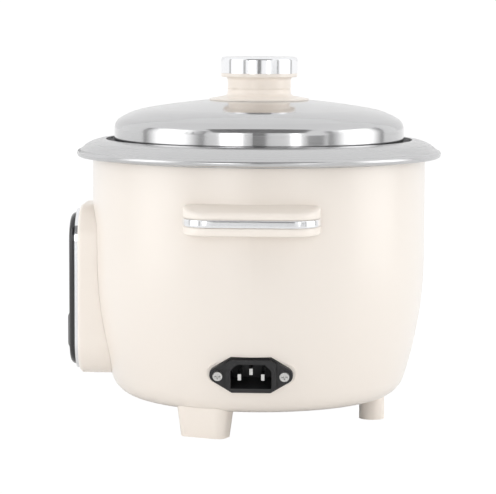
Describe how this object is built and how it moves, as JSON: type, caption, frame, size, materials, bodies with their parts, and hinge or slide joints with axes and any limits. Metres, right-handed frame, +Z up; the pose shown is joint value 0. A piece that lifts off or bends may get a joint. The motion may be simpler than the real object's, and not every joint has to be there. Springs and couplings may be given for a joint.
{
  "type": "rice cooker",
  "caption": "Small drum rice cooker: cream shell on feet, lift-out pot with a sloping brim, polished lid with a knob, side handles, front press switch and appliance inlet.",
  "frame": {"origin": "on the pot's axis at the level of the table that the feet stand on", "axes": "+Z up; the control box faces -Y; the inlet and one handle face +X"},
  "size_m": [0.2386, 0.2354, 0.23],
  "materials": {
    "cream_enamel": "gloss",
    "cream_plastic": "gloss",
    "chrome_trim": "polished",
    "polished_steel": "polished",
    "satin_aluminium": "satin",
    "black_gloss": "gloss",
    "black_plastic": "satin",
    "zinc_steel": "satin",
    "galvanised": "satin",
    "cast_alloy": "cast",
    "dark_metal": "matte",
    "plated_blade": "satin",
    "red_lens": "gloss",
    "amber_lens": "gloss",
    "brown_lead": "matte",
    "blue_lead": "matte",
    "green_lead": "matte",
    "white_lead": "matte",
    "silicone": "matte"
  },
  "bodies": {
    "base": {"outer_shell": "cream_enamel", "bottom_cover": "galvanised", "bottom_cover_screws": "zinc_steel", "front_foot_right": "cream_plastic", "front_foot_left": "cream_plastic", "rear_foot": "cream_plastic", "foot_screws": "zinc_steel", "handle_right": "cream_plastic", "handle_trim_right": "chrome_trim", "handle_left": "cream_plastic", "handle_trim_left": "chrome_trim", "handle_screws": "zinc_steel", "heat_shield": "galvanised", "earth_screw": "zinc_steel", "heating_plate": "cast_alloy", "heating_element": "galvanised", "plate_supports": "zinc_steel", "plate_screws": "zinc_steel", "sensor_guide": "galvanised", "sensor_spring": "zinc_steel", "lever_bracket": "galvanised", "lever_pin": "zinc_steel", "micro_switch": "black_plastic", "thermal_fuse": "white_lead", "fuse_clip": "galvanised", "control_housing": "cream_plastic", "bezel_trim": "chrome_trim", "control_panel": "black_gloss", "cook_lens": "red_lens", "warm_lens": "amber_lens", "indicator_lamps": "amber_lens", "lamp_holder": "black_plastic", "control_box_screws": "zinc_steel", "inlet_housing": "black_plastic", "inlet_contacts": "plated_blade", "inlet_screws": "zinc_steel", "inlet_nuts": "zinc_steel", "neutral_lead": "blue_lead", "live_lead": "brown_lead", "earth_lead": "green_lead", "switch_lead": "brown_lead", "heater_lead": "white_lead", "lamp_lead": "white_lead"},
    "pot": {"inner_pot": "satin_aluminium"},
    "lid": {"lid_shell": "polished_steel", "knob_skirt": "cream_plastic", "knob_body": "cream_plastic", "knob_cap": "chrome_trim", "knob_washer": "silicone", "knob_screw": "zinc_steel"},
    "switch": {"switch_lever": "galvanised", "switch_key": "black_gloss"},
    "sensor": {"sensor_cap": "satin_aluminium", "ferrite_disc": "dark_metal", "sensor_base": "galvanised", "plunger_spring": "zinc_steel"},
    "plunger": {"magnet": "dark_metal", "plunger_rod": "zinc_steel"},
    "button": {"switch_button": "red_lens"}
  },
  "joints": [
    {"name": "pot_lift", "type": "slide", "parent": "base", "child": "pot", "axis": [0, 0, 1], "range_m": [0, 0.12]},
    {"name": "lid_lift", "type": "slide", "parent": "pot", "child": "lid", "axis": [0, 0, 1], "range_m": [0, 0.08]},
    {"name": "switch_press", "type": "hinge", "parent": "base", "child": "switch", "pos_m": [0, -0.06, 0.044], "axis": [1, 0, 0], "range_deg": [0, 5], "stiffness_Nm_per_rad": 0.4},
    {"name": "sensor_press", "type": "slide", "parent": "base", "child": "sensor", "axis": [0, 0, 1], "range_m": [-0.0015, 0], "stiffness_N_per_m": 600, "deforming": ["sensor_spring"]},
    {"name": "magnet_rise", "type": "slide", "parent": "sensor", "child": "plunger", "axis": [0, 0, 1], "range_m": [0, 0.00524], "deforming": ["plunger_spring"]},
    {"name": "button_follow", "type": "slide", "parent": "base", "child": "button", "axis": [0, 0, 1], "range_m": [0, 0.00105]}
  ],
  "couplings": [
    {"joint": "magnet_rise", "follows": "switch_press", "m_per_rad": 0.06},
    {"joint": "button_follow", "follows": "switch_press", "m_per_rad": 0.01145}
  ]
}
